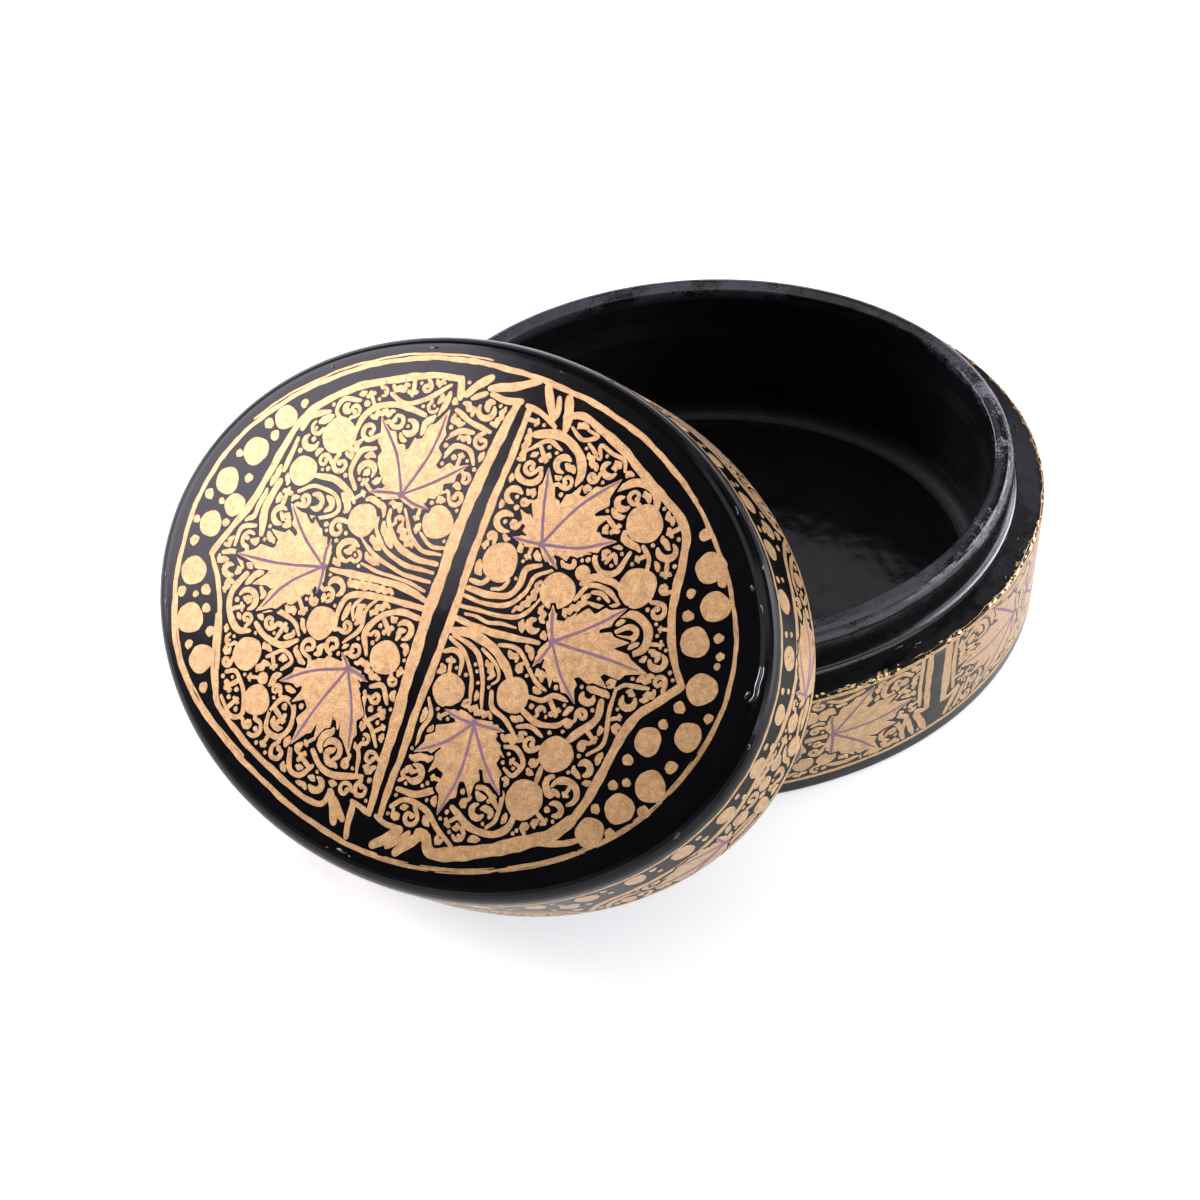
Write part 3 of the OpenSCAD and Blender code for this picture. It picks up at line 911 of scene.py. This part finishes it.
def lid_top_drawing():
    """Two cusped halves with a bar between them, in an oval line."""
    d = Drawing((-48, -37), (48, 37), seed=11)
    for grow, width, turn0, turn1 in RIM_STROKES:
        d.line([rim_line(a, grow) for a in np.linspace(turn0, turn1, 30)], width, end=0.9, start=0.9)
    dry_brush(d)
    d.line(LEFT_STRIP, 1.75, start=0.7, end=0.6)
    d.line(RIGHT_STRIP, 1.15)
    d.line(RIGHT_FRAME, 1.2)
    d.line(RIGHT_FOOT[:8], 1.3)
    d.line(RIGHT_FOOT[6:], 1.9)
    d.line(LEFT_FRAME, 1.1)
    d.line(LEFT_FOOT, 0.85)
    d.line(LEFT_FOOT_SHADOW, 0.5)
    d.strokes(BAR_ENDS, end=0.8)
    d.strokes(STEMS, end=0.6)
    d.strokes(SCROLLS, end=0.65)
    d.dots(BERRIES, rough=0.05)
    d.dots(END_DOTS, rough=0.06)
    d.dots(SMALL_DOTS, rough=0.14)
    for leaf in LEAVES:
        d.leaf(*leaf)
    right = d.inside(RIGHT_STRIP + [(5, -30)] + RIGHT_FOOT[::-1] + RIGHT_FRAME[::-1])
    left = d.inside(LEFT_STRIP + LEFT_FOOT[::-1] + LEFT_FRAME[::-1])
    fill_gaps(d, right | left, lean=0.0011)
    return d


# ---------------- the sides, in mm
# Rows are as above, with x along the oval's edge from the middle of a bar or the start of an arch.
BORDER_STROKES = 40
PANELS = 7
LAST_BAR = 241.08  # where the last bar stands, as in the photo
BAR_STROKES = (
    (1.1, -1.7, 22.8, -1.8, 16, -1.6, 9.6), (1.5, 1.6, 22.8, 1.7, 16, 1.5, 8.9),
    (0.7, -3.1, 22.6, -3.2, 17, -3, 11), (0.8, 3.2, 22.6, 3, 16, 3.3, 10.2),
    (0.8, -1.4, 9.4, -2.4, 9.3, -3.6, 10.1), (0.8, 1.2, 8.7, 2.6, 8.6, 4.4, 9.6),
    (1.2, -3.6, 9.4, -2.6, 7, -1.7, 4.4), (0.8, -5, 9, -4.4, 6.6, -3.8, 4.4),
    (1.1, 4.4, 8.9, 3.2, 6.8, 2.2, 4.6), (0.8, 5.6, 8.4, 4.8, 6.6, 4, 4.8),
    (0.9, -6.6, 11, -5.2, 9.6, -5.8, 6.6, -5.4, 4.6),
)
BAR_OUTLINE = [
    (-1.6, 24), (-1.6, 9.4), (-3, 9), (-1.2, 3.8), (1.6, 3.8), (3.6, 8.4), (1.6, 9), (1.6, 24),
]
BAR_SCROLLS = (
    (0.9, 5, 20.2, 6.6, 21.6, 9, 21, 9.6, 18.6, 7.6, 17.2, 5.6, 18), (0.8, 5.2, 16.2, 6.4, 17, 8, 15.8),
    (0.8, 6, 11.6, 7.6, 12, 8.6, 10.6), (0.8, 6, 7, 7, 9.6, 9, 9.4, 9.4, 7.4, 8, 6),
    (0.8, 13, 21.8, 16, 21, 18.4, 21.8), (0.8, 12.6, 5.2, 15, 4.9, 17.6, 5.4),
)
BAR_LEAF_VEINED = ((4.4, 14), (11.2, 21.8), (9.6, 5), (17.6, 18), (17.4, 8.2))
BAR_LEAF_PLAIN = ((7.4, 17.2), (14.6, 20), (7, 9.8), (13.6, 6))

ARCHES = 4
ARCH_DOTS = 9
FIRST_ARCH = 31
HALF_ARCH = ((0, 0.7), (2.4, 3.6), (6.5, 5.8), (14, 6.6), (24, 7.2))
CUSP_DOTS = ((0, 6.9, 1.5), (-0.3, 3.9, 0.8), (2.6, 6.2, 0.5), (-2.8, 6.2, 0.5))
ARCH_BERRIES = ((27.6, 5.2, 1.4), (30.4, 2.6, 1.5), (33.4, 5.6, 1.2), (7, 2.6, 1.2))
ARCH_SCROLLS = (
    (0.8, 3, 1.2, 4.2, 3, 7, 4.6, 9.4, 4.4), (0.7, 24.6, 3, 27, 3.3, 29, 2.8),
    (0.7, 9, 1.2, 10.4, 2.6, 9.4, 3.6),
)
ARCH_LEAF_VEINED = ((11.4, 3.4), (16.6, 6.6), (16.4, 0.8), (23.6, 6.4))
ARCH_LEAF_PLAIN = ((13.6, 5.2), (20, 6.4), (20.6, 0.8), (25.4, 4.6))

FLECK_CLUSTERS = 44
# the long run of lacquer on the lid's right edge, and a short one beside it
LONG_RUNS = (
    (4.2, 16.7, 5.0, 16.2, 6.6, 16.1, 8.0, 15.8, 9.2, 15.8), (4.6, 17.4, 5.4, 17.2),
)


def border_lines(d, rows):
    """Lines right round a side, in short strokes; rows of height, height halfway, unevenness and width."""
    for k in range(BORDER_STROKES):
        a = k * ROUND / BORDER_STROKES
        b = (k + 1) * ROUND / BORDER_STROKES + 0.3
        for up, halfway, uneven, width in rows:
            bend = halfway + d.hand.uniform(-uneven, uneven)
            d.line([(a, up), ((a + b) / 2, bend), (b, up)], width, start=1, end=1)


def box_side_drawing():
    """The frieze round the box: upright black bars, with a leaf lying on each side of every bar."""
    d = Drawing((0, 1), (ROUND, 24.2), seed=23, loop=ROUND)
    border_lines(d, ((3.55, 3.55, 0.12, 0.6), (23.1, 23.0, 0.15, 1.2)))
    wide = ROUND / PANELS
    bare = np.zeros(d.room.shape, bool)
    for k in range(PANELS):
        at = (k + 0.5) * wide + LAST_BAR - (PANELS - 0.5) * wide + d.hand.uniform(-0.5, 0.5)
        d.strokes(BAR_STROKES, 0.7, at)
        bare |= d.inside(placed(BAR_OUTLINE, at))
        for side, root in ((-1, 17.2), (1, 17.8)):
            leaf_beside_bar(d, at, side, root)
    fill_gaps(d, ~bare & (d.ys[:, None] > 3.8) & (d.ys[:, None] < 22.6))
    return d


def leaf_beside_bar(d, at, side, root):
    """A leaf that points at the bar, with its stem, dots and scrolls; root is where its veins meet."""
    up = 13.1
    d.line(placed([(root, up), (root + 2.6, up)], at, side), 1.0)
    for x, y, r in ((root + 1.2, 18.6, 1.5), (root + 0.8, 7.2, 1.5), (6.2, 19.4, 0.9), (8.2, 17.8, 0.6)):
        d.dot(at + side * x, y, r * d.hand.uniform(0.85, 1.1))
    d.strokes(BAR_SCROLLS, 0.6, at, side)
    d.leaf((root, up), BAR_LEAF_VEINED, BAR_LEAF_PLAIN, 1.35, at, side)


def lid_side_drawing():
    """The frieze round the lid: a row of dots over a cusped line, and leaves and scrolls below it."""
    d = Drawing((0, 0), (ROUND, 14), seed=37, loop=ROUND)
    border_lines(d, ((12.2, 12.2, 0.12, 0.55), (0.95, 0.95, 0.1, 0.5)))
    wide = ROUND / ARCHES
    under = np.zeros(d.room.shape, bool)
    for k in range(ARCHES):
        at = FIRST_ARCH + k * wide
        edge = placed(HALF_ARCH, at) + [(at + wide / 2, 8.6)]
        edge += [(2 * at + wide - x, y) for x, y in edge[-2::-1]]
        d.line(edge, 1.0)
        for shift in (0, -ROUND):
            under |= d.inside(placed(edge, shift))
        for n in range(ARCH_DOTS):
            x = at + (n + 0.5) * wide / ARCH_DOTS
            d.dot(x, 9.9 - 0.3 * cos(n * 2.2), d.hand.uniform(1.45, 1.85), rough=0.06)
            d.dot(x + 3.1, 10.7, d.hand.uniform(0.4, 0.55), rough=0.14)
            d.dot(x + 3.4, 8.9, d.hand.uniform(0.35, 0.55), rough=0.14)
        d.dots(CUSP_DOTS, 0.1, at)
        for side, start in ((1, at), (-1, at + wide)):
            d.dots(ARCH_BERRIES, 0.08, start, side)
            d.strokes(ARCH_SCROLLS, 0.6, start, side)
            d.leaf((23.4, 3.1), ARCH_LEAF_VEINED, ARCH_LEAF_PLAIN, 1.3, start, side)
    fill_gaps(d, under & (d.ys[:, None] > 1.0))
    return d


def shoulder_flecks():
    """Thick specks of gold where the brush ran over the shoulder edge."""
    d = Drawing((0, 1), (ROUND, 25), seed=61, loop=ROUND)
    for _ in range(FLECK_CLUSTERS):
        middle, spread = d.hand.uniform(0, ROUND), d.hand.uniform(0.8, 3.5)
        for _ in range(int(4 * spread) + 2):
            x, up = middle + d.hand.gauss(0, spread), 23.2 + abs(d.hand.gauss(0, 0.32))
            tip = (x + d.hand.uniform(0.1, 0.7), up + d.hand.uniform(-0.15, 0.15))
            d.line([(x, up), tip], d.hand.uniform(0.16, 0.45), start=0.6, end=0.6, note=False)
    return d


def lacquer_runs(seed, low, high, count, longer=()):
    """Beads and short runs where the lacquer dried thick, between two heights."""
    d = Drawing((0, 1), (ROUND, 32), seed=seed, loop=ROUND)
    for _ in range(count):
        x, up, size = d.hand.uniform(0, ROUND), d.hand.uniform(low, high), d.hand.uniform(0.2, 0.5)
        tip = (x + d.hand.uniform(0.1, 1.6), up + d.hand.uniform(-0.25, 0.25))
        d.line([(x, up), tip], size, start=0.5, end=0.7, note=False)
    for flat in longer:
        d.line(pairs(flat), 0.6, start=0.4, end=0.9, shake=0.08, note=False)
    return d


# ---------------- the paint goes on
def lay(obj, finish, body):
    """Gives a piece of paint its material and the body that it moves with."""
    obj.data.materials.append(finish)
    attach(obj, body)


def painted(name, drawing, place, body, spacing):
    """Gold on the lacquer, and the violet veins on the gold."""
    lay(paint_sheet(name + "_gold", drawing, place, spacing, GOLD_LAYER), gold, body)
    lay(paint_sheet(name + "_veins", drawing.veins(), place, spacing, VEIN_LAYER), violet, body)


painted("lid_top", lid_top_drawing(), on_lid_top, "lid", 1.6)
painted("lid_side", lid_side_drawing(), on_lid_side, "lid", 1.1)
painted("box_side", box_side_drawing(), on_box_side, "box", 1.1)

LOOSE_SPACING = 3.0
collar_beads = lacquer_runs(71, 24.2, 28.0, 46)
border_beads = lacquer_runs(72, 13.6, 18.5, 30, LONG_RUNS)
lay(paint_sheet("box_lacquer_runs", collar_beads, on_box_side, LOOSE_SPACING, BEAD_LAYER, domed=True),
    wet_lacquer, "box")
lay(paint_sheet("lid_lacquer_runs", border_beads, on_lid_side, LOOSE_SPACING, BEAD_LAYER, domed=True),
    wet_lacquer, "lid")
lay(paint_sheet("shoulder_flecks", shoulder_flecks(), on_box_side, LOOSE_SPACING, FLECK_LAYER),
    bright_gold("bright_gold"), "box")


# ---------------- floor, light, camera, in metres
FLOOR_HALF = 3.0
FLOOR_DROP = 0.00005  # the floor lies this far under the box, so that the two don't coincide
SENSOR = 36.0  # in millimetres
PHOTO_SIDE = 1200  # pixels

# name, direction and height in degrees, distance, width, height, watts, colour
LAMPS = (
    ("overhead_softbox", 60, 80, 1.1, 0.95, 0.95, 4.3, (1, 1, 1)),
    ("left_window", -119, 29, 0.6, 0.45, 0.35, 4.3, (0.93, 0.87, 1.0)),
    ("right_panel", 86, 14, 0.9, 1.0, 0.42, 5.8, (0.88, 0.90, 1.0)),
    ("right_strip", 80, 20, 0.9, 1.1, 0.16, 4.5, (0.88, 0.89, 1.0)),
    ("back_fill", 160, 50, 1.0, 0.34, 0.34, 0.4, (0.90, 0.90, 1.0)),
)


def make_stage():
    """A white paper floor that glows where the camera sees it, less so near the object."""
    bm = bmesh.new()
    bmesh.ops.create_grid(bm, x_segments=1, y_segments=1, size=FLOOR_HALF)
    bmesh.ops.translate(bm, vec=(0, 0, -FLOOR_DROP), verts=bm.verts)
    floor = added("studio_floor", mesh_from("studio_floor", bm))
    mat, surface, here = new_finish("white_paper")
    seen = here.node("LightPath", out="Is Camera Ray") + here.node("LightPath", out="Is Glossy Ray")
    seen = seen + here.node("LightPath", out="Is Transmission Ray")
    far = here.node("VectorMath", {"operation": "LENGTH"}, out="Value", a0=here)
    glow = fade(far, 0.15, 0.7, 0.54, 1.0, "SMOOTHSTEP")
    dress(surface, Base_Color=(0.8, 0.8, 0.8, 1), Roughness=1.0, Specular_IOR_Level=0.0,
          Emission_Color=seen * glow, Emission_Strength=1.0)
    floor.data.materials.append(mat)


def lamp(name, azimuth, elevation, away, wide, tall, watts, colour):
    """A soft box that faces the object from a direction in degrees, 0 being the front."""
    data = bpy.data.lights.new(name, "AREA")
    data.shape = "RECTANGLE"
    data.size, data.size_y = wide, tall
    data.energy = watts
    data.color = colour
    a, e = radians(azimuth), radians(elevation)
    way = Vector((sin(a) * cos(e), -cos(a) * cos(e), sin(e)))
    facing = way.to_track_quat("Z", "Y").to_matrix().to_4x4()
    added(name, data).matrix_world = Matrix.Translation(way * away) @ facing


def make_light():
    """A room that is brighter low down, seen as plain white by the camera, and the lamps."""
    world = bpy.data.worlds.new("soft_room")
    bpy.context.scene.world = world
    world.use_nodes = True
    tree = world.node_tree
    way = Wire(tree, tree.nodes.new("ShaderNodeTexCoord").outputs["Generated"])
    rise = fade(way.node("SeparateXYZ", out="Z", Vector=way), 0.05, 0.5, 0.75, 0.08, "SMOOTHSTEP")
    seen = way.node("LightPath", out="Is Camera Ray")
    dress(tree.nodes["Background"], Strength=rise * (1 - seen) + seen,
          Color=mixed(seen, (0.86, 0.91, 1.0, 1), (1, 1, 1, 1)))
    for row in LAMPS:
        lamp(*row)


def make_camera():
    """The camera of the photo; the box's middle is away mm to its right, up and ahead."""
    looks_down, yaw = 0.9545, 0.117  # radians
    focal_px, away = 4207.4, Vector((14.687, 2.159, 629.05))
    turn = Matrix.Rotation(-yaw, 3, "Z")
    right = turn @ Vector((1, 0, 0))
    up = turn @ Vector((0, sin(looks_down), cos(looks_down)))
    ahead = turn @ Vector((0, cos(looks_down), -sin(looks_down)))
    data = bpy.data.cameras.new("camera")
    data.sensor_width = SENSOR
    data.lens = SENSOR * focal_px / PHOTO_SIDE
    data.clip_start, data.clip_end = 0.05, 20
    camera = added("camera", data)
    place = -(right * away.x + up * away.y + ahead * away.z) * MM
    camera.matrix_world = Matrix.Translation(place) @ Matrix((right, up, -ahead)).transposed().to_4x4()
    bpy.context.scene.camera = camera


make_stage()
make_light()
make_camera()
bpy.context.scene.view_settings.view_transform = "Standard"
